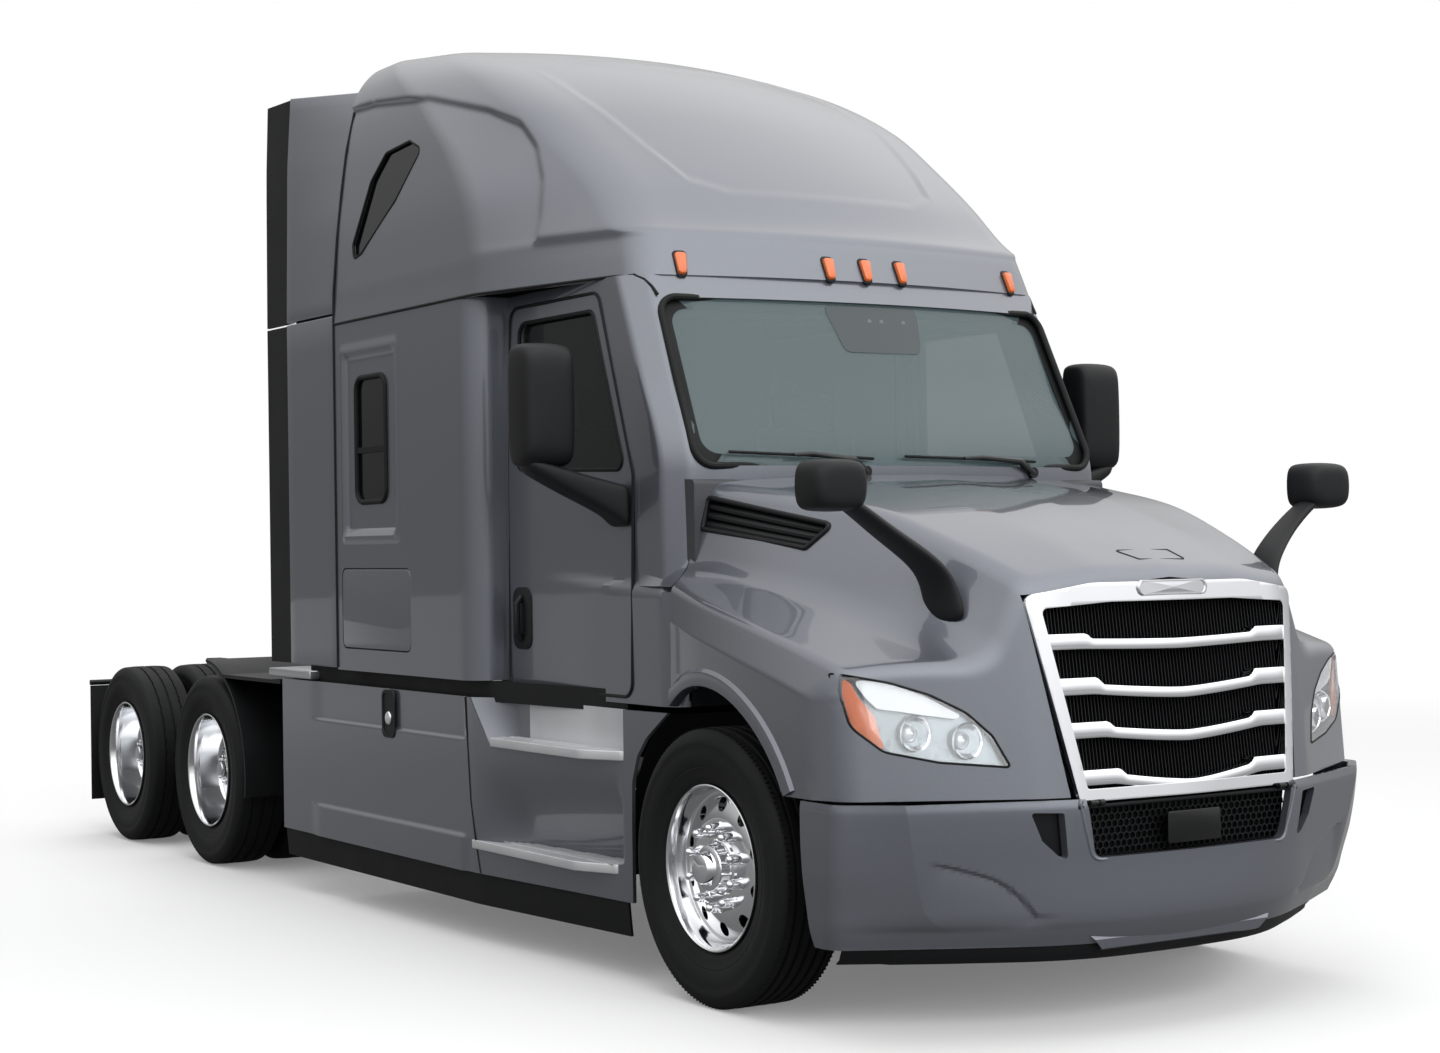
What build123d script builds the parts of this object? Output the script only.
from build123d import *
import os
from functools import cache
from math import atan2, hypot, tan

# Highway tractor with a raised-roof sleeper cab, full size, millimetres.
# Stations (y) run rearwards from the front axle, heights (z) up from the ground, and x is
# positive on the driver's side. The finished pieces are moved so that the origin lies on the
# ground under the middle of the truck. Side pieces are drawn on the +x side and mirrored.

# Wheels and axles
tyre_radius = 500
tyre_width = 290
twin_width = 276
rim_radius = 291
rim_gap = 0.4
front_wheel_x = 1025
twin_outer_x = 1060
twin_inner_x = 724
rear_axle_stations = (4930, 6251)
kingpin_x = 880
spindle_radius = 42
hub_clearance = 0.5

# Frame
rail_outer_x = 430
rail_height = 260
rail_flange = 85
rail_wall = 10
frame_top = 1000
frame_front = -1040
frame_rear = 6960
cross_member_stations = (frame_front + 30, 1450, 2500, 3600, 4560, 5590, 6700)

# Cab, sleeper and roof
wall = 50
seam_height = 2700
cab_floor = 1050
cab_rear = 1700
sleeper_side = 1220
sleeper_rear = 3100
sleeper_floor = 1100
sleeper_corner = 140
sleeper_doorway = 1010
panel_thickness = 45
door_front = 640
door_rear = 1672
door_bottom = 1075
door_top = 2650
belt_height = 1930
door_wall = 55
shut_gap = 6
glass_wall = 6
luggage_front = 2300
luggage_rear = 3040
luggage_bottom = 1200
luggage_top = 1570
luggage_wall = 35
roof_top = 3965

# Hood, grille and bumper
hood_wall = 25
hood_rear_gap = 10
arch_radius = 650
nose_front = -1262
nose_bottom = 806
nose_top = 1600
nose_lean = 112
bumper_front = -1300
bumper_top = 800
bumper_bottom = 310
bumper_wall = 35
bumper_bow = 24

# Fairings and rear end
skirt_side = 1200
skirt_front_side = 1112
skirt_front = 600
skirt_rear = 3830
skirt_top = 1030
skirt_bottom = 300
skirt_wall = 28
rubber_bottom = 165
extender_rear = 3650
extender_edge_rear = 3950
extender_wall = 40
extender_top = 3850
fifth_wheel_station = 5450
fifth_wheel_top = 1210

step_front = 650
step_rear = 1600
upper_step = 835
lower_step = 425
tank_radius = 300
tank_x = 790
tank_z = 640
tank_front = 1800
tank_rear = 3350
tank_bracket_stations = (2150, 3000)
bracket_stations = (1770, 3560)
flap_station = 6840
flap_top = 870
tilt_height = 1085
extender_front = sleeper_rear + 0.3
roof_wall = 40
nose_levels = ((nose_bottom - 2, 0), (nose_top + 700, nose_lean * 1.88))

# Clearances, mounts and hinges
seat_gap = 0.3
bore_gap = 0.5
radiator_front = -975
radiator_rear = -875
mount_stations = (
    # front, rear, underside of the body it carries
    (560, 640, cab_floor),
    (1500, 1580, cab_floor),
    (2900, 2980, sleeper_floor),
)
hood_pivot_y = -1255
hood_pivot_z = 786
hood_pin = 7
hood_eye = 11
hood_lug = (420, 440)
hood_fork = (400, 460)
door_pivot_x = 1062
door_hinge_heights = (1230, 1760)
luggage_pivot_x = 1222
luggage_hinge_heights = (1225, 1455)
hinge_pin = 5
hinge_eye = 11
hinge_relief = 17
hinge_step = 30


def outline(points, radii=0, inset=0):
    """Closed face in the XY plane with its corners rounded, shrunk by the inset."""
    face = make_face(FilletPolyline(*points, radius=radii, close=True))
    return offset(face, -inset).face() if inset else face


def both_sides(points):
    """A half outline that runs from the centre line outwards, closed by its mirror image."""
    mirrored = [(-x, y) for x, y in reversed(points) if x > 0]
    return points + mirrored


def plan_slab(points, radii, low, high):
    """Plan outline raised from one height to another."""
    return extrude(Pos(0, 0, low) * outline(points, radii), high - low)


def side_prism(points, radii, x_low, x_high, inset=0):
    """Side-view outline (y, z) extended across the truck."""
    face = Pos(x_low, 0, 0) * (Plane.YZ * outline(points, radii, inset))
    return extrude(face, x_high - x_low, dir=(1, 0, 0))


def front_prism(points, radii, y_low, y_high, inset=0):
    """Front-view outline (x, z) extended along the truck."""
    face = Pos(0, y_low, 0) * (Plane.XZ * outline(points, radii, inset))
    return extrude(face, y_high - y_low, dir=(0, 1, 0))


def block(x_low, x_high, y_low, y_high, z_low, z_high):
    """Plain box between two corners."""
    size = (x_high - x_low, y_high - y_low, z_high - z_low)
    centre = ((x_low + x_high) / 2, (y_low + y_high) / 2, (z_low + z_high) / 2)
    return Pos(*centre) * Box(*size)


def bar_x(radius, x_low, x_high, y, z):
    """Round bar across the truck."""
    return Pos((x_low + x_high) / 2, y, z) * Rot(0, 90, 0) * Cylinder(radius, x_high - x_low)


def bar_y(radius, y_low, y_high, x, z):
    """Round bar along the truck."""
    return Pos(x, (y_low + y_high) / 2, z) * Rot(90, 0, 0) * Cylinder(radius, y_high - y_low)


def bar_z(radius, z_low, z_high, x, y):
    """Upright round bar."""
    return Pos(x, y, (z_low + z_high) / 2) * Cylinder(radius, z_high - z_low)


def flip(shape):
    """Mirror image on the other side of the truck."""
    return mirror(shape, about=Plane.YZ)


def pair(shape):
    """A piece and its mirror image as separate solids."""
    return Compound(list(shape.solids()) + list(flip(shape).solids()))


def save(name, shape, shift):
    """Move a piece into the part's frame and write it."""
    moved = [Pos(0, shift, 0) * solid for solid in shape.solids()]
    export_step(moved[0] if len(moved) == 1 else Compound(moved), f"parts/{name}.step")


def bow(corner_x, corner_y, middle_y, share):
    """Where the two straight halves of a bowed front meet, and the radius that rounds them.

    The arc takes a share of each half and passes through the middle station.
    """
    apex = corner_y - (corner_y - middle_y) / (1 - share / 2)
    drop = corner_y - apex
    return apex, share * hypot(corner_x, drop) / tan(atan2(drop, corner_x))


# Body surfaces

# Cab outline by height: half width, where the corner starts, corner x and y, windshield middle
cab_levels = (
    # height, half_width, corner_start, corner_x, corner_y, middle_y
    (cab_floor, 1060, 420, 1020, 345, 330),
    (belt_height, 1060, 440, 985, 352, 240),
    (seam_height, 1035, 790, 950, 690, 575),
)

# Roof outline by height
roof_levels = (
    # height, side, taper_start, corner_x, corner_y, middle_y, side_radius, corner_radius
    (seam_height, 1222, 1650, 985, 690, 560, 420, 160),
    (2865, 1213, 1650, 960, 745, 625, 420, 180),
    (3100, 1195, 1750, 930, 1010, 870, 420, 240),
    (3330, 1168, 1950, 940, 1310, 1140, 300, 280),
    (3520, 1140, 2200, 965, 1600, 1410, 300, 280),
    (3700, 1098, 2460, 940, 1960, 1740, 240, 280),
    (3830, 1035, 2720, 880, 2300, 2060, 200, 260),
    (3920, 930, 2900, 770, 2600, 2380, 120, 200),
    (roof_top, 700, 3010, 540, 2840, 2700, 60, 120),
)

# Hood half section by station: centre height, shoulder, valley, crease and bottom
hood_stations = (
    # station, centre_z, shoulder_x, shoulder_z, valley_x, valley_z, crease_x, crease_z, side_x
    (335, 1925, 930, 1880, 1010, 1560, 1085, 1490, 1092),
    (0, 1880, 850, 1835, 975, 1530, 1140, 1430, 1165),
    (-400, 1810, 745, 1775, 900, 1450, 1160, 1345, 1200),
    (-800, 1700, 670, 1640, 820, 1330, 1150, 1240, 1205),
    (-1060, 1590, 610, 1530, 720, 1250, 1130, 1170, 1195),
    (-1330, 1440, 540, 1380, 640, 1150, 1100, 1090, 1190),
)

# Bumper outline by height: plan of half the bumper
bumper_levels = (
    # height, side_x, side_front, corner_x, corner_y, middle_y, rear
    (bumper_bottom, 1165, -790, 840, -940, -1235, -700),
    (450, 1195, -820, 900, -1020, -1262, -690),
    (620, 1210, -850, 960, -1060, -1285, -680),
    (bumper_top, 1212, -870, 985, -1062, bumper_front, -670),
)


@cache
def cab_body(inset):
    """Solid cab volume, smaller by the inset on every side."""
    faces = []
    for height, side, start, corner_x, corner_y, middle in cab_levels:
        apex, radius = bow(corner_x - inset, corner_y + inset, middle + inset, 0.8)
        points = [
            (0, apex),
            (corner_x - inset, corner_y + inset),
            (side - inset, start + inset),
            (side - inset, cab_rear),
        ]
        radii = [radius, 60, 60, 0]
        faces.append(Pos(0, 0, height) * outline(both_sides(points), radii + radii[:0:-1]))
    return loft(faces, ruled=True)


@cache
def roof_body(inset):
    """Solid roof volume, smaller by the inset on every side and on top."""
    faces = []
    for height, side, taper, corner_x, corner_y, middle, side_radius, corner_radius in roof_levels:
        apex, radius = bow(corner_x - inset, corner_y + inset, middle + inset, 0.7)
        points = [
            (0, apex),
            (corner_x - inset, corner_y + inset),
            (side - inset, taper),
            (side - inset, sleeper_rear - inset),
        ]
        radii = [radius, corner_radius, side_radius, 0]
        level = height if height == seam_height else height - inset
        faces.append(Pos(0, 0, level) * outline(both_sides(points), radii + radii[:0:-1]))
    return loft(faces, ruled=True)


@cache
def hood_body(inset):
    """Solid under the hood skin, from the windshield foot to beyond the nose."""
    faces = []
    bottom = nose_bottom - (1 if inset else 0)
    for station, top, shoulder_x, shoulder_z, valley_x, valley_z, crease_x, crease_z, side_x in hood_stations:
        points = [
            (0, top - inset),
            (shoulder_x - inset, shoulder_z - inset),
            (valley_x - inset, valley_z - inset),
            (crease_x - inset, crease_z - inset),
            (side_x - inset, crease_z - 120 - inset),
            (side_x - inset, bottom),
        ]
        radii = [0, 110, 160, 60, 60, 0]
        faces.append(Pos(0, station, 0) * (Plane.XZ * outline(both_sides(points), radii + [0, 60, 60, 160, 110])))
    return loft(faces, ruled=True)


@cache
def nose_body(inset):
    """Volume behind the raked and rounded front of the hood."""
    faces = []
    for height, lean in nose_levels:
        points = [
            (0, nose_front + lean + inset),
            (560, nose_front + 38 + lean + inset),
            (860, nose_front + 215 + lean * 0.8 + inset),
            (1160 - inset, nose_front + 395 + lean * 0.6 + inset),
            (1230 - inset, nose_front + 600 + lean * 0.5),
            (1230 - inset, 900),
        ]
        radii = [1500, 420, 500, 150, 100, 0]
        faces.append(Pos(0, 0, height) * outline(both_sides(points), radii + radii[:0:-1]))
    return loft(faces, ruled=True)


@cache
def hood_volume(inset):
    """Hood volume rounded off at the nose."""
    return hood_body(inset) & nose_body(inset)


@cache
def bumper_body(inset, low=0, high=0):
    """Solid behind the bumper skin; low and high stretch it past its edges."""
    faces = []
    last = len(bumper_levels) - 1
    for index, (height, side_x, side_front, corner_x, corner_y, middle, rear) in enumerate(bumper_levels):
        level = height - low if index == 0 else height + high if index == last else height
        points = [
            (0, middle + inset),
            (440, middle + bumper_bow + inset),
            (corner_x - inset * 0.6, corner_y + inset),
            (side_x - inset, side_front + inset * 0.6),
            (side_x - inset, rear + (1 if inset else 0)),
        ]
        radii = [3000, 700, 260, 60, 0]
        faces.append(Pos(0, 0, level) * outline(both_sides(points), radii + radii[:0:-1]))
    return loft(faces, ruled=True)


def fixed_hinge(body, x, y, height):
    """Add the outer knuckles and the pin of an upright hinge, with room for the middle knuckle."""
    middle = height + hinge_step
    top = middle + hinge_step
    body -= bar_z(hinge_relief, middle, top, x, y)
    body += bar_z(hinge_eye, height, middle, x, y)
    body += bar_z(hinge_eye, top, top + hinge_step, x, y)
    return body + bar_z(hinge_pin, height, top + hinge_step, x, y)


def moving_hinge(leaf, x, y, height):
    """Add the middle knuckle of an upright hinge, with room for the outer ones."""
    middle = height + hinge_step
    top = middle + hinge_step
    leaf -= bar_z(hinge_relief, height - shut_gap, middle + seat_gap, x, y)
    leaf -= bar_z(hinge_relief, top - seat_gap, top + hinge_step + shut_gap, x, y)
    leaf += bar_z(hinge_eye, middle + seat_gap, top - seat_gap, x, y)
    return leaf - bar_z(hinge_pin + bore_gap, height, top + hinge_step, x, y)


# Cab, sleeper and roof

door_outline = [
    (door_front, door_bottom),
    (door_front, belt_height),
    (door_front + 290, door_top),
    (door_rear, door_top),
    (door_rear, door_bottom),
]
door_radii = [60, 90, 70, 60, 60]
window_outline = [
    (door_front + 62, belt_height + 15),
    (door_front + 330, door_top - 70),
    (door_rear - 80, door_top - 70),
    (door_rear - 80, belt_height + 45),
]
window_radii = [40, 50, 50, 50]
windshield_outline = [(968, belt_height + 18), (940, seam_height - 88)]
windshield_radii = [75, 75, 75, 75]
sleeper_window = [(2556, 1868), (2556, 2438), (2884, 2438), (2884, 1868)]
luggage_outline = [
    (luggage_front, luggage_bottom),
    (luggage_front, luggage_top),
    (luggage_rear, luggage_top),
    (luggage_rear, luggage_bottom),
]
roof_window = [
    (2258, 3402), (2395, 3458), (2640, 3440), (2772, 3328), (2912, 3052), (2893, 2985), (2812, 3002), (2481, 3201),
]
roof_window_radii = [25, 40, 60, 60, 25, 25, 60, 150]


def cab_shell():
    """Floor, firewall, pillars and door frames of the cab."""
    inside = cab_body(wall)
    floor_top = cab_floor + panel_thickness
    floor = cab_body(0) & block(-1200, 1200, 0, cab_rear + 1, cab_floor - 1, floor_top)
    walls_low = floor_top + seat_gap
    shell = (cab_body(0) - inside) & block(-1200, 1200, 0, cab_rear + 1, walls_low, seam_height)
    shell -= front_prism(both_sides_quad(windshield_outline), windshield_radii, 100, 900)
    opening = side_prism(door_outline, door_radii, 900, 1200)
    shell = shell - opening - flip(opening)
    for height in door_hinge_heights:
        shell = fixed_hinge(shell, door_pivot_x, door_front, height)
        shell = fixed_hinge(shell, -door_pivot_x, door_front, height)
    floor = floor - opening - flip(opening)
    return Compound(list(floor.solids()) + list(shell.solids()))


def both_sides_quad(points):
    """Trapezoid from its lower and upper corners on one side."""
    (low_x, low_z), (high_x, high_z) = points
    return [(-low_x, low_z), (-high_x, high_z), (high_x, high_z), (low_x, low_z)]


def sleeper_shell():
    """Floor, side walls and back wall of the sleeper, open towards the cab and the roof."""
    reach = sleeper_side - wall
    back = sleeper_rear - wall
    outer = [
        (-sleeper_side, cab_rear),
        (-sleeper_side, sleeper_rear),
        (sleeper_side, sleeper_rear),
        (sleeper_side, cab_rear),
    ]
    inner = [(-reach, cab_rear + wall), (-reach, back), (reach, back), (reach, cab_rear + wall)]
    corner = sleeper_corner
    floor_top = sleeper_floor + panel_thickness
    floor = plan_slab(outer, [corner, 0, 0, corner], sleeper_floor, floor_top)
    walls = plan_slab(outer, [corner, 0, 0, corner], floor_top + seat_gap, seam_height)
    walls -= plan_slab(inner, [corner - wall, 0, 0, corner - wall], floor_top, seam_height)
    side = walls & block(sleeper_doorway, sleeper_side, cab_rear, back - seat_gap, floor_top, seam_height)
    rear = walls & block(-sleeper_side, sleeper_side, back, sleeper_rear, floor_top, seam_height)
    for points, radii in ((sleeper_window, 60), (luggage_outline, 40)):
        side -= side_prism(points, radii, reach - 10, sleeper_side + 10)
    for height in luggage_hinge_heights:
        side = fixed_hinge(side, luggage_pivot_x, luggage_front, height)
    return Compound([floor, side, flip(side), rear])


def roof_cap():
    """Raised roof with its tall side windows cut."""
    opening = side_prism(roof_window, roof_window_radii, 1000, 1300)
    return roof_body(0) - roof_body(roof_wall) - opening - flip(opening)


def cab_glass():
    """Windshield, sleeper windows and roof windows."""
    pane = cab_body(12) - cab_body(12 + glass_wall)
    pane &= front_prism(both_sides_quad(windshield_outline), windshield_radii, 100, 900, seat_gap)
    outer = sleeper_side - 20 + glass_wall
    side = side_prism(sleeper_window, 60, sleeper_side - 20, outer, seat_gap)
    skin = roof_body(8) - roof_body(8 + glass_wall)
    light = skin & side_prism(roof_window, roof_window_radii, 1000, 1300, seat_gap)
    return Compound(list(pane.solids()) + [side, flip(side)] + list(light.solids()) + list(flip(light).solids()))


def door_leaf():
    """Door on the driver's side with its window cut."""
    leaf = cab_body(0) - cab_body(door_wall)
    leaf &= side_prism(door_outline, door_radii, 900, 1200, shut_gap)
    leaf -= side_prism(window_outline, window_radii, 900, 1200)
    for height in door_hinge_heights:
        leaf = moving_hinge(leaf, door_pivot_x, door_front, height)
    return leaf


def door_glass():
    """Side window pane."""
    pane = cab_body(18) - cab_body(18 + glass_wall)
    return pane & side_prism(window_outline, window_radii, 900, 1200, seat_gap)


def door_fittings():
    """Mirror with its arm, and the door handle, both on the door."""
    head = block(1284, 1490, 700, 850, 1955, 2425)
    head = fillet(head.edges(), 40)
    arm_low = block(1060.3, 1330, 690, 790, 1850, 1925)
    arm_high = block(1260, 1330, 720, 790, 1925, 1960)
    plate = block(1060.3, 1078, 665, 860, 1790, 1925)
    handle = fillet(block(1060.3, 1082, 1515, 1620, 1240, 1480).edges().filter_by(Axis.Z), 10)
    return head + arm_low + arm_high + plate, handle


def luggage_door():
    """Luggage door on the driver's side."""
    leaf = side_prism(luggage_outline, 40, sleeper_side - luggage_wall, sleeper_side, shut_gap)
    for height in luggage_hinge_heights:
        leaf = moving_hinge(leaf, luggage_pivot_x, luggage_front, height)
    return leaf


def extender_side():
    """Fairing panels behind the sleeper: lower and upper."""
    face_a = [(sleeper_side - extender_wall, 1110), (sleeper_side, 1110), (sleeper_side, 2745), (sleeper_side - extender_wall, 2745)]
    face_b = [(x + 8, z) for x, z in face_a]
    lower = loft([xz_face(face_a, extender_front), xz_face(face_b, extender_rear)], ruled=True)
    top_a = [(1180, 2755), (1219, 2755), (1138, 3500), (1060, 3800), (1022, 3780), (1098, 3490)]
    top_b = [(1188, 2755), (1228, 2755), (1215, 3500), (1194, extender_top), (1154, extender_top), (1175, 3500)]
    upper = loft([xz_face(top_a, extender_front), xz_face(top_b, extender_rear)], ruled=True)
    return lower, upper


def xz_face(points, y):
    """Front-view outline at one station."""
    return Pos(0, y, 0) * (Plane.XZ * outline(points))


def dashboard():
    """Dashboard with the steering wheel on its column."""
    points = [(250, 1480), (250, 1900), (700, 1925), (900, 1860), (960, 1700), (860, 1480)]
    reach = cab_levels[0][1] - door_wall - shut_gap - 1
    board = side_prism(points, [20, 20, 60, 60, 80, 60], -reach, reach) & cab_body(wall + seat_gap)
    place = Pos(480, 1080, 1790) * Rot(-62, 0, 0)
    wheel = place * Torus(215, 15)
    for turn in (0, 120, 240):
        wheel += place * Rot(0, 0, turn) * Pos(108, 0, 0) * Box(216, 34, 12)
    wheel += place * Cylinder(62, 34)
    column = place * Pos(0, 0, -130) * Cylinder(34, 240)
    return board + wheel + column


def seats():
    """Two seats and the bunk."""
    solids = []
    for side in (-1, 1):
        x = side * 500
        seat = block(x - 170, x + 170, 1330, 1620, cab_floor + 45.3, 1440)
        seat += fillet(block(x - 260, x + 260, 1250, 1690, 1430, 1590).edges(), 40)
        back = fillet(block(x - 250, x + 250, -70, 70, 0, 760).edges(), 45)
        seat += Pos(0, 1640, 1560) * Rot(-12, 0, 0) * back
        solids.append(seat)
    reach = sleeper_side - wall - 0.3
    bunk = block(-reach, reach, 2200, sleeper_rear - wall - 0.3, 1750, 1950)
    return Compound([s for seat in solids for s in seat.solids()] + [bunk])


# Hood and front end

vent_outline = [(300, 1828), (-310, 1716), (-230, 1634), (300, 1712)]
vent_radii = [12, 12, 12, 12]
lamp_outline = [
    (655, 905), (700, 1005), (800, 1105), (950, 1180), (1130, 1222),
    (1260, 1228), (1260, 1130), (1150, 985), (1080, 950), (850, 915),
]
lamp_radii = [12, 60, 120, 200, 60, 5, 5, 60, 60, 100]
surround_half = [(0, 1518), (609, 1469), (487, 822), (0, 800)]
opening_half = [(0, 1442), (556, 1424), (452, 862), (0, 842)]
bar_heights = (1295, 1137, 980)
bar_drops = (10, 16, 22)
bar_half_height = 18
tab_length = 150
tab_rise = 22
surround_depth = 30


def hood():
    """Hood with fenders, its arches, lamp pockets, grille opening and side vents cut."""
    shell = hood_volume(0) - hood_volume(hood_wall)
    shell -= cab_body(-hood_rear_gap)
    arch = bar_x(arch_radius, rail_outer_x + 50, skirt_side + 200, 0, tyre_radius)
    shell = shell - arch - flip(arch)
    shell -= front_prism(both_sides(surround_half), 0, -1500, -900)
    half_width = surround_half[2][0]
    shell -= block(-half_width, half_width, -1500, -900, nose_bottom - 10, surround_half[2][1] + 1)
    lamp = front_prism(lamp_outline, lamp_radii, -1500, -820)
    vent = side_prism(vent_outline, vent_radii, 700, 1200)
    return shell - lamp - flip(lamp) - vent - flip(vent)


def headlamps():
    """Lamp bodies that fill the pockets at the front corners."""
    bodies = hood_volume(-2) - hood_volume(70)
    lamp = bodies & front_prism(lamp_outline, lamp_radii, -1500, -820 - seat_gap, seat_gap)
    return pair(lamp)


def bar_outline(height, drop):
    """Front view of one grille bar with a stepped tab at each end."""
    reach = 452 + (height - 862) * (556 - 452) / (1424 - 862) + 6
    tab = reach - tab_length
    half = [
        (0, height + bar_half_height - drop),
        (tab - 30, height + bar_half_height - drop * 0.2),
        (tab, height + bar_half_height + tab_rise),
        (reach, height + bar_half_height + tab_rise),
        (reach, height - bar_half_height),
        (tab, height - bar_half_height - drop * 0.1),
        (0, height - bar_half_height - drop),
    ]
    return both_sides(half)


def grille_surround():
    """Bright surround with its bars, following the rounded nose."""
    skin = nose_body(-12) - nose_body(surround_depth)
    face = front_prism(both_sides(surround_half), 0, -1500, -900, seat_gap)
    face -= front_prism(both_sides(opening_half), 0, -1500, -900)
    for height, drop in zip(bar_heights, bar_drops):
        face += front_prism(bar_outline(height, drop), 0, -1500, -900)
    surround = skin & face
    lug = side_prism([(-1240, 850), (-1266, 788), (-1244, 784), (-1205, 850)], 0, *hood_lug)
    lug += bar_x(hood_eye, *hood_lug, hood_pivot_y, hood_pivot_z)
    lug -= bar_x(hood_pin + bore_gap, *hood_fork, hood_pivot_y, hood_pivot_z)
    return surround + lug + flip(lug)


def hood_grilles():
    """Black mesh behind the bars and the louvres in the hood sides."""
    mesh = nose_body(surround_depth + 0.3) - nose_body(surround_depth + 12)
    mesh &= front_prism(both_sides(surround_half), 0, -1500, -900, 20)
    louvre = hood_volume(5) - hood_volume(hood_wall + 12)
    louvre &= side_prism(vent_outline, vent_radii, 700, 1200, seat_gap)
    louvre -= cab_body(-hood_rear_gap)
    return Compound(list(mesh.solids()) + list(louvre.solids()) + list(flip(louvre).solids()))


def hood_mirror():
    """Mirror on the fender with its long arm."""
    head = Pos(1133, -780, 1842) * fillet(Box(190, 120, 150).edges(), 30)
    path = Polyline((700, -900, 1490), (860, -900, 1620), (1120, -800, 1790))
    section = Plane(origin=(700, -900, 1490), z_dir=(160, 0, 130)) * Circle(30)
    arm = sweep(section, path=path, transition=Transition.ROUND)
    return (head + arm) - hood_volume(-seat_gap)


def bumper():
    """Painted bumper skin with the intake notch in the middle."""
    shell = bumper_body(0) - bumper_body(bumper_wall, 5, 5)
    notch = [(-490, 900), (-430, 605), (430, 605), (490, 900)]
    return shell - front_prism(notch, [0, 30, 30, 0], -1500, -900)


def bumper_grille():
    """Black mesh behind the intake notch."""
    skin = bumper_body(bumper_wall + 2 * seat_gap) - bumper_body(bumper_wall + 12, 5, 5)
    skin &= block(-520, 520, -1500, -900, 560, bumper_top - 2)
    slot = block(hood_fork[0] - 5, hood_fork[1] + 5, -1500, -900, 755, bumper_top)
    return skin - slot - flip(slot)


# Frame and running gear


def frame_rails():
    """Two channel rails with cross members and the brackets on them."""
    low = frame_top - rail_height
    inner = rail_outer_x - rail_flange
    web = rail_outer_x - rail_wall
    channel = [
        (inner, low), (rail_outer_x, low), (rail_outer_x, frame_top), (inner, frame_top),
        (inner, frame_top - rail_wall), (web, frame_top - rail_wall), (web, low + rail_wall), (inner, low + rail_wall),
    ]
    rail = front_prism(channel, 0, frame_front, frame_rear)
    frame = rail + flip(rail)
    for station in cross_member_stations:
        frame += block(-web - 1, web + 1, station - 30, station + 30, low + 50, frame_top - 50)
    half = rail_fittings(low, inner)
    return frame + half + flip(half)


def rail_fittings(low, inner):
    """Brackets on the left rail for the fairings, tanks, flaps, cab, bumper and hood."""
    start = rail_outer_x - 2
    fittings = bar_x(16, start, skirt_side, flap_station, flap_top + 16)
    for station in bracket_stations:
        fittings += bar_x(16, start, skirt_side - skirt_wall - seat_gap, station, 900)
    for station in tank_bracket_stations:
        bracket = block(start, tank_x - tank_radius / 2, station - 40, station + 40, low, frame_top - 20)
        fittings += bracket - bar_y(tank_radius + seat_gap, tank_front, tank_rear, tank_x, tank_z)
    for front, rear, underside in mount_stations:
        fittings += block(inner, rail_outer_x, front, rear, frame_top - 1, underside - seat_gap)
    arm = block(inner, hood_fork[1], frame_front - 110, frame_front + 5, low, low + 50)
    arm += block(inner, rail_outer_x, frame_front - 60, frame_front + 5, 480, low + 10)
    arm += block(inner, rail_outer_x, -1400, frame_front + 5, 480, 555) & bumper_body(bumper_wall + seat_gap)
    for x_low, x_high in ((hood_fork[0], hood_lug[0] - seat_gap), (hood_lug[1] + seat_gap, hood_fork[1])):
        arm += block(x_low, x_high, hood_pivot_y, frame_front - 50, hood_pivot_z - hood_eye, low + 50)
        arm += bar_x(hood_eye, x_low, x_high, hood_pivot_y, hood_pivot_z)
    arm += bar_x(hood_pin, *hood_fork, hood_pivot_y, hood_pivot_z)
    return fittings + arm


def engine_block():
    """Engine as one plain block with the gearbox behind it."""
    engine = block(-320, 320, -850, 270, 560, 1470)
    engine += block(-230, 230, 260, 1150, 520, 960)
    for side in (-1, 1):
        x_low, x_high = sorted((side * 310, side * 400))
        engine += block(x_low, x_high, -350, -250, frame_top, frame_top + 40)
    return engine


def radiator():
    """Core and tanks across the rails."""
    tank = block(-440, 440, radiator_front, radiator_rear, frame_top, 1480)
    return tank + block(-335, 335, radiator_front, radiator_rear, 600, frame_top + 1)


def front_axle():
    """Dropped beam with an eye at each end."""
    half = [
        (0, 450), (560, 450), (720, 560), (kingpin_x, 560), (kingpin_x, 440), (740, 440), (600, 350), (0, 350),
    ]
    beam = front_prism(both_sides_ring(half), 0, -45, 45)
    for side in (-1, 1):
        beam += bar_z(60, 440, 560, side * kingpin_x, 0)
        beam -= bar_z(25.5, 430, 570, side * kingpin_x, 0)
    return beam


def both_sides_ring(points):
    """Half outline from the centre line back to it, closed by its mirror image."""
    return points + [(-x, z) for x, z in reversed(points) if x > 0]


def knuckle():
    """Steering knuckle: fork round the beam eye, kingpin and spindle."""
    fork = block(kingpin_x - 60, kingpin_x + 83, -50, 50, 565, 612)
    fork += block(kingpin_x - 60, kingpin_x + 83, -50, 50, 388, 435)
    fork += block(kingpin_x + 66, kingpin_x + 83, -50, 50, 388, 612)
    fork += bar_z(25, 400, 600, kingpin_x, 0)
    fork += bar_x(spindle_radius, kingpin_x + 75, front_wheel_x + 95, 0, tyre_radius)
    return fork


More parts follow.
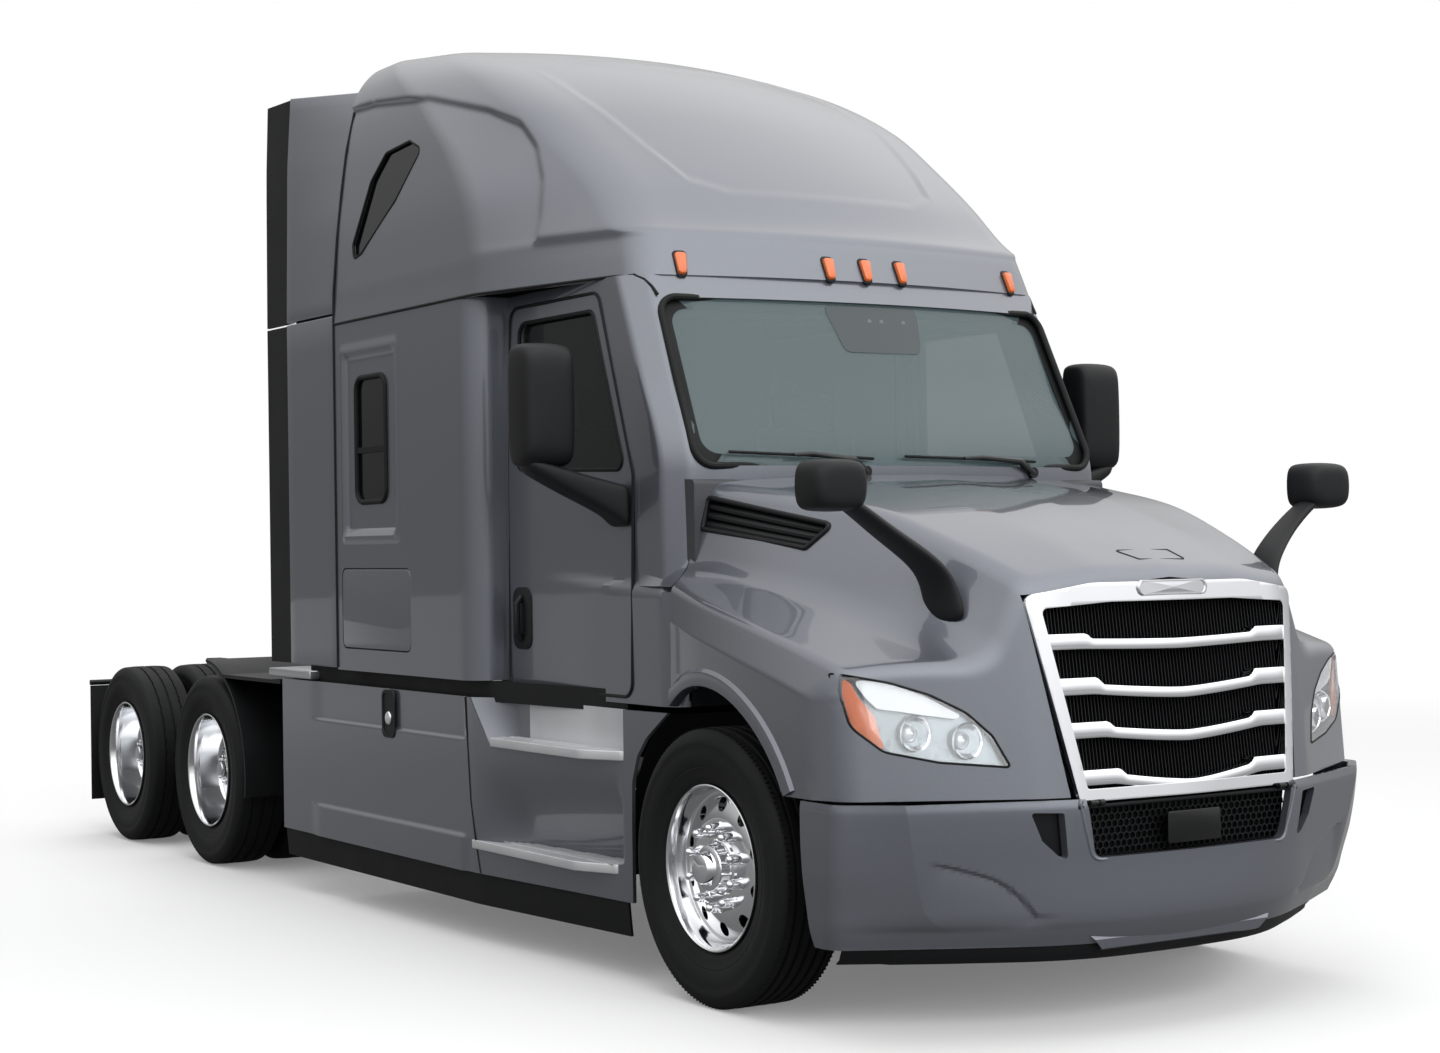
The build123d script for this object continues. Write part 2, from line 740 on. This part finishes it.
def rear_axles():
    """Two drive axle housings with their spindles, and the shafts that drive them."""
    axles = []
    for station in rear_axle_stations:
        axle = bar_x(62, -600, 600, station, tyre_radius)
        axle += bar_x(spindle_radius, -twin_outer_x - 40, twin_outer_x + 40, station, tyre_radius)
        axle += Pos(0, station, tyre_radius) * Sphere(190)
        axle += bar_y(60, station - 300, station, 0, tyre_radius + 60)
        axles.append(axle)
    shaft = bar_y(45, 1150.3, rear_axle_stations[0] - 300.3, 0, tyre_radius + 60)
    link = bar_y(45, rear_axle_stations[0] + 160, rear_axle_stations[1] - 300.3, 0, tyre_radius + 60)
    axles[0] += link
    return Compound([axles[0].solids()[0], axles[1].solids()[0], shaft])


def suspension():
    """Leaf springs on the front beam, arms with air springs on the drive axles."""
    low = frame_top - rail_height
    parts = []
    leaf = side_prism(
        [(-780, low - 0.3), (-700, low - 0.3), (-380, 545), (0, 505), (380, 545), (700, low - 0.3), (780, low - 0.3),
         (400, 500), (60, 450.3), (-60, 450.3), (-400, 500)],
        0, rail_outer_x - 80, rail_outer_x,
    )
    parts.append(leaf)
    for station in rear_axle_stations:
        top = tyre_radius + 62.3
        arm = block(rail_outer_x - 85, rail_outer_x, station - 480, station + 430, top, top + 50)
        arm += block(rail_outer_x - 85, rail_outer_x, station - 480, station - 400, top, low - 0.3)
        arm += bar_z(100, top + 45, low - 0.3, rail_outer_x - 10, station + 320)
        parts.append(arm)
    children = []
    for part in parts:
        children += list(part.solids()) + list(flip(part).solids())
    return Compound(children)


def fuel_tanks():
    """Round tanks hung outside the rails."""
    return pair(bar_y(tank_radius, tank_front, tank_rear, tank_x, tank_z))


def fifth_wheel_base():
    """Mounting plate with the two ears that carry the coupling plate."""
    base = block(-rail_outer_x, rail_outer_x, fifth_wheel_station - 360, fifth_wheel_station + 360, frame_top, frame_top + 12)
    for side in (-1, 1):
        ear = side_prism(
            [(fifth_wheel_station - 120, frame_top + 5), (fifth_wheel_station - 45, tilt_height + 45),
             (fifth_wheel_station + 45, tilt_height + 45), (fifth_wheel_station + 120, frame_top + 5)],
            0, 360, 385)
        if side < 0:
            ear = flip(ear)
        base += ear
        x_low, x_high = sorted((side * 350, side * 395))
        base -= bar_x(30.5, x_low, x_high, fifth_wheel_station, tilt_height)
    return base


def fifth_wheel_plate():
    """Coupling plate with the throat for the trailer's pin and its tilt pins."""
    y = fifth_wheel_station
    plate = plan_slab(
        [(-300, y - 440), (-460, y - 200), (-460, y + 150), (-300, y + 520), (-120, y + 520), (-40, y + 220),
         (-40, y + 80), (40, y + 80), (40, y + 220), (120, y + 520), (300, y + 520), (460, y + 150),
         (460, y - 200), (300, y - 440)],
        [120, 160, 120, 20, 15, 15, 5, 5, 15, 15, 20, 120, 160, 120], fifth_wheel_top - 60, fifth_wheel_top)
    plate -= bar_z(25.8, fifth_wheel_top - 70, fifth_wheel_top + 10, 0, y)
    for side in (-1, 1):
        x_low, x_high = sorted((side * 290, side * 350))
        plate += block(x_low, x_high, y - 60, y + 60, tilt_height - 30, fifth_wheel_top - 50)
        x_low, x_high = sorted((side * 340, side * 395))
        plate += bar_x(30, x_low, x_high, y, tilt_height)
    return plate


def rear_fenders():
    """Curved mudguards ahead of the forward drive wheels with a flat step on top."""
    station = rear_axle_stations[0]
    ring = bar_x(590, 600, skirt_side, station, tyre_radius) - bar_x(575, 590, skirt_side + 10, station, tyre_radius)
    ring &= block(500, 1300, station - 700, station - 40, tyre_radius - 100, 1200)
    ring += block(600, skirt_side, skirt_rear + 30, station - 285, 1000, 1018)
    ring += block(rail_outer_x + 0.3, 620, 4300, 4380, 960, 1010)
    return pair(ring)


def side_skirt():
    """Fairing below the cab and sleeper with its two step recesses."""
    outer = [(skirt_front_side, skirt_front), (skirt_side, 1750), (skirt_side, skirt_rear)]
    inner = [(x - skirt_wall, y) for x, y in reversed(outer)]
    panel = plan_slab(outer + inner, 0, skirt_bottom, skirt_top)
    panel -= bar_x(arch_radius - 8, 900, 1300, 0, tyre_radius)
    panel -= block(1000, 1300, step_front, step_rear, upper_step, skirt_top + 10)
    panel -= block(1000, 1300, step_front, step_rear + 100, lower_step, lower_step + 150)
    return panel


def step_unit():
    """Two treads on one kick panel behind the fairing."""
    kick = block(955, 970, step_front, step_rear + 100, lower_step - 40, skirt_top - 20)
    unit = kick
    for height, rear in ((upper_step, step_rear), (lower_step, step_rear + 100)):
        front_x = skirt_front_side + (skirt_side - skirt_front_side) * (step_front - skirt_front) / (1750 - skirt_front)
        rear_x = skirt_front_side + (skirt_side - skirt_front_side) * (rear - skirt_front) / (1750 - skirt_front)
        tread = plan_slab(
            [(960, step_front + 0.3), (front_x, step_front + 0.3), (rear_x, rear - 0.3), (960, rear - 0.3)],
            0, height + 0.3, height + 30)
        unit += tread
    unit += block(rail_outer_x + 0.3, 960, 1000, 1060, 760, 800)
    return unit


def rubber_flaps():
    """Rubber skirts under the fairings, mud flaps, and the edges of the side extenders."""
    skirt = plan_slab(
        [(skirt_front_side - 24, skirt_front + 40), (skirt_side - 24, 1750), (skirt_side - 24, skirt_rear),
         (skirt_side - 12, skirt_rear), (skirt_side - 12, 1750), (skirt_front_side - 12, skirt_front + 40)],
        0, rubber_bottom, skirt_bottom - 0.3)
    flap = block(620, skirt_side, flap_station - 5, flap_station + 5, 190, flap_top - 0.3)
    low = block(1199, 1213, extender_rear + 0.3, extender_edge_rear, 1110, 2745)
    high = loft([
        xz_face([(1197, 2755), (1211, 2755), (1198, 3500), (1178, extender_top), (1164, extender_top), (1184, 3500)], extender_rear + 0.3),
        xz_face([(1199, 2755), (1213, 2755), (1208, 3500), (1196, extender_top + 5), (1182, extender_top + 5), (1194, 3500)], extender_edge_rear),
    ], ruled=True)
    children = []
    for part in (skirt, flap, low, high):
        children += [part, flip(part)]
    return Compound(children)


def deck_plate():
    """Tread plate on the rails behind the sleeper."""
    return block(-rail_outer_x, rail_outer_x, sleeper_rear + 60, 4600, frame_top, frame_top + 8)


def tail_lamps():
    """Lamps on the last cross member."""
    lamps = []
    for side in (-1, 1):
        x_low, x_high = sorted((side * 140, side * 320))
        lamps.append(fillet(block(x_low, x_high, 6730, 6760, 830, 910).edges().filter_by(Axis.Y), 20))
    return Compound(lamps)


# Wheels


def tyre(x, width, station):
    """Tyre as a ring with rounded shoulders."""
    half = width / 2
    profile = [
        (rim_radius + rim_gap, -half * 0.72), (rim_radius + 40, -half * 0.9), (400, -half),
        (470, -half * 0.93), (tyre_radius - 6, -half * 0.78), (tyre_radius, -half * 0.6),
    ]
    points = profile + [(r, -a) for r, a in reversed(profile)]
    ring = revolve(Plane.XZ * outline(points), Axis.Z)
    return Pos(x, station, tyre_radius) * Rot(0, 90, 0) * ring


def rim(x, station, disc, hub_out, drum_in, drum_out, drum_radius):
    """Wheel with its barrel, disc, hub and brake drum; the disc offset is measured outwards."""
    barrel = [(rim_radius - 12, -122), (rim_radius + 7, -122), (rim_radius + 7, -112), (rim_radius, -106),
              (rim_radius, 106), (rim_radius + 7, 112), (rim_radius + 7, 122), (rim_radius - 12, 122)]
    bore = spindle_radius + hub_clearance
    wheel = revolve(Plane.XZ * outline(barrel), Axis.Z)
    plate = [(rim_radius - 8, disc - 40), (rim_radius - 8, disc - 12), (150, disc + 14), (100, disc + 14),
             (100, disc), (150, disc)]
    wheel += revolve(Plane.XZ * outline(plate), Axis.Z)
    hub = [(bore, drum_in), (104, drum_in), (104, disc + 8), (80, hub_out), (0.01, hub_out), (0.01, hub_out - 12), (bore, hub_out - 12)]
    wheel += revolve(Plane.XZ * outline(hub), Axis.Z)
    drum = [(95, drum_in), (drum_radius, drum_in), (drum_radius, drum_out), (95, drum_out)]
    wheel += revolve(Plane.XZ * outline(drum), Axis.Z)
    for index in range(10):
        wheel -= Rot(0, 0, index * 36 + 18) * Pos(212, 0, disc) * Cylinder(32, 120)
    return Pos(x, station, tyre_radius) * Rot(0, 90, 0) * wheel


def twin_rims(station):
    """Two wheels back to back on one hub and drum."""
    wheel = rim(twin_outer_x, station, -70, 60, -200, -150, 150)
    inner = Pos(twin_inner_x, station, tyre_radius) * Rot(0, 90, 0)
    barrel = [(rim_radius - 12, -118), (rim_radius, -118), (rim_radius, 118), (rim_radius - 12, 118)]
    wheel += inner * revolve(Plane.XZ * outline(barrel), Axis.Z)
    plate = [(95, 226), (rim_radius - 5, 90), (rim_radius - 5, 110), (150, 240), (95, 240)]
    wheel += inner * revolve(Plane.XZ * outline(plate), Axis.Z)
    drum = [(spindle_radius + hub_clearance, -100), (205, -100), (205, 60), (104, 75), (104, 230),
            (spindle_radius + hub_clearance, 230)]
    wheel += inner * revolve(Plane.XZ * outline(drum), Axis.Z)
    return wheel


def truck():
    """All pieces by node name."""
    lower, upper = extender_side()
    mirror_part, handle = door_fittings()
    pieces = {
        "frame_rails": frame_rails(),
        "engine_block": engine_block(),
        "radiator": radiator(),
        "cab_shell": cab_shell(),
        "sleeper_shell": sleeper_shell(),
        "roof_cap": roof_cap(),
        "cab_glass": cab_glass(),
        "side_extenders": Compound([lower, upper, flip(lower), flip(upper)]),
        "bumper": bumper(),
        "bumper_grille": bumper_grille(),
        "side_skirts": pair(side_skirt()),
        "step_treads": pair(step_unit()),
        "rubber_flaps": rubber_flaps(),
        "fuel_tanks": fuel_tanks(),
        "front_axle": front_axle(),
        "rear_axles": rear_axles(),
        "suspension": suspension(),
        "fifth_wheel_base": fifth_wheel_base(),
        "fifth_wheel_plate": fifth_wheel_plate(),
        "rear_fenders": rear_fenders(),
        "deck_plate": deck_plate(),
        "tail_lamps": tail_lamps(),
        "dashboard": dashboard(),
        "seats": seats(),
        "hood": hood(),
        "grille_surround": grille_surround(),
        "hood_grilles": hood_grilles(),
        "headlamps": headlamps(),
        "hood_mirrors": pair(hood_mirror()),
        "door_left": door_leaf(),
        "door_left_glass": door_glass(),
        "door_left_fittings": Compound([mirror_part, handle]),
        "luggage_door_left": luggage_door(),
        "knuckle_left": knuckle(),
        "front_left_tyre": tyre(front_wheel_x, tyre_width, 0),
        "front_left_rim": rim(front_wheel_x, 0, 60, 170, -52, 60, 205),
    }
    for row, station in zip(("forward", "rearward"), rear_axle_stations):
        tyres = [tyre(x, twin_width, station) for x in (twin_inner_x, twin_outer_x)]
        pieces[f"{row}_left_tyres"] = Compound(tyres)
        pieces[f"{row}_left_rims"] = twin_rims(station)
    for name in [name for name in pieces if "left" in name]:
        pieces[name.replace("left", "right")] = flip(pieces[name])
    return pieces


if __name__ == "__main__":
    os.makedirs("parts", exist_ok=True)
    model = truck()
    front = model["bumper"].bounding_box().min.Y
    for name, piece in model.items():
        save(name, piece, -(front + frame_rear) / 2)
